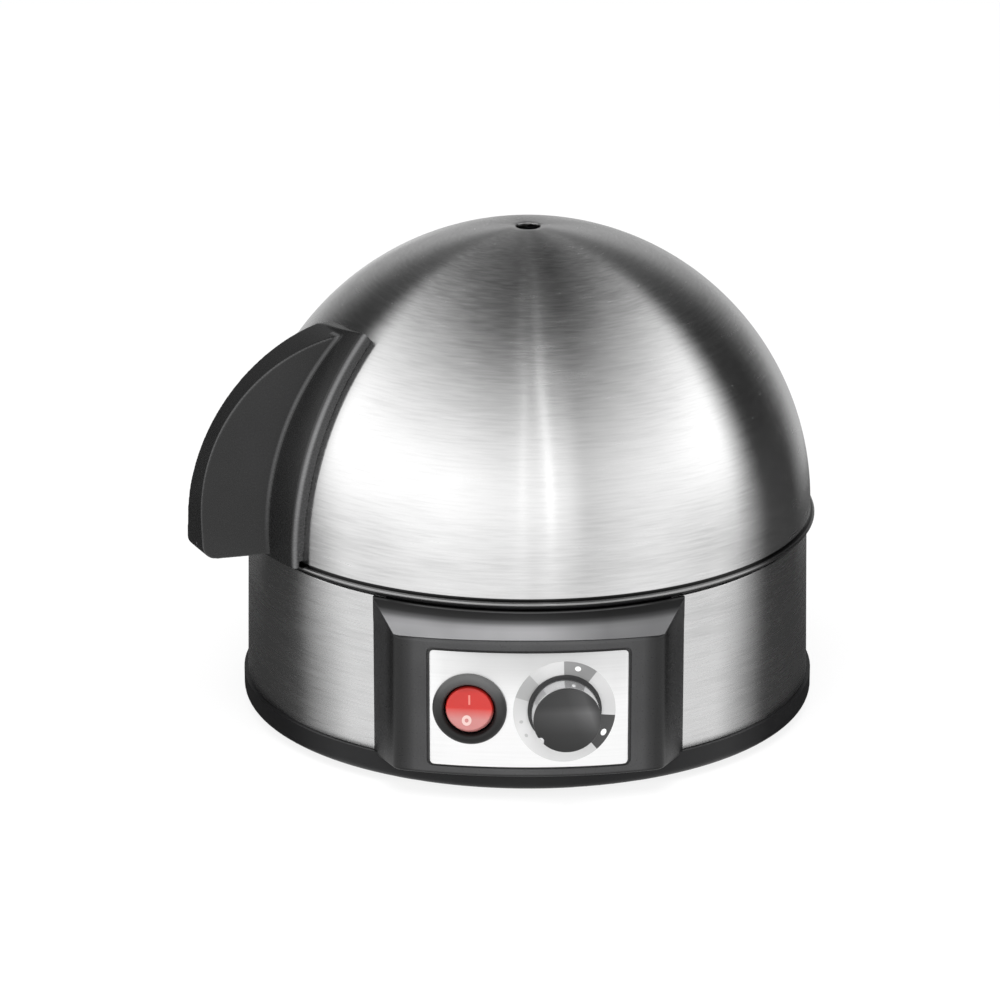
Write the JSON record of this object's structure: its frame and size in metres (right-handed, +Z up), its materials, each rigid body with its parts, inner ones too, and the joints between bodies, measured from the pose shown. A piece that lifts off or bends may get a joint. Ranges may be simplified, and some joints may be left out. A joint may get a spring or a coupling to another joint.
{
  "type": "electric egg cooker",
  "caption": "Countertop electric egg cooker: round steel base, front console with a rocker switch and dial knob, heated water dish, lift-out egg tray and a steel dome lid with a side handle.",
  "frame": {"origin": "on the axis of the round base, at the plane that the feet stand on", "axes": "+Z up along the axis of the base and dome, -Y towards the control console, +Y out of the cord inlet at the rear"},
  "size_m": [0.1994, 0.2002, 0.1571],
  "materials": {
    "brushed_steel": "brushed",
    "dish_steel": "satin",
    "black_plastic": "fine texture",
    "control_black": "satin",
    "tray_plastic": "satin",
    "chrome": "polished",
    "rocker_red": "gloss",
    "fasteners": "zinc plated",
    "rubber": "matt",
    "silicone": "matt",
    "element_sheath": "oxidised",
    "brown_resin": "matt",
    "contact_brass": "plain",
    "control_grey": "matt",
    "board_green": "lacquered",
    "relay_blue": "gloss",
    "buzzer_black": "matt",
    "block_white": "matt"
  },
  "bodies": {
    "base": {"steel_band": "brushed_steel", "face_plate": "brushed_steel", "heating_dish": "dish_steel", "upper_housing": "black_plastic", "foot_ring": "black_plastic", "base_plate": "black_plastic", "control_console": "black_plastic", "switch_body": "control_black", "base_screws": "fasteners", "console_screws": "fasteners", "bridge_nut": "fasteners", "shaft_nut": "fasteners", "dish_bridge": "fasteners", "rubber_feet": "rubber", "cord_gland": "rubber", "dish_seal": "silicone", "heating_element": "element_sheath", "thermal_fuse": "element_sheath", "thermal_cutout": "brown_resin", "switch_terminals": "contact_brass", "control_body": "control_grey", "circuit_board": "board_green", "relay": "relay_blue", "buzzer": "buzzer_black", "terminal_block": "block_white"},
    "tray": {"egg_tray": "tray_plastic"},
    "lid": {"lid_dome": "brushed_steel", "lid_handle": "black_plastic", "handle_screws": "fasteners", "handle_washers": "fasteners"},
    "rocker": {"switch_rocker": "rocker_red"},
    "knob": {"control_shaft": "fasteners", "knob_ring": "chrome", "knob_cap": "control_black"}
  },
  "joints": [
    {"name": "tray_lift", "type": "slide", "parent": "base", "child": "tray", "axis": [0, 0, 1], "range_m": [0, 0.12]},
    {"name": "lid_lift", "type": "slide", "parent": "tray", "child": "lid", "axis": [0, 0, 1], "range_m": [0, 0.16]},
    {"name": "rocker_tilt", "type": "hinge", "parent": "base", "child": "rocker", "pos_m": [-0.01796, -0.09433, 0.03105], "axis": [0.9916, -0.1296, 0], "range_deg": [0, 20]},
    {"name": "knob_turn", "type": "hinge", "parent": "base", "child": "knob", "pos_m": [0.0109, -0.09657, 0.03105], "axis": [-0.0779, 0.997, 0], "range_deg": [0, 270]}
  ]
}
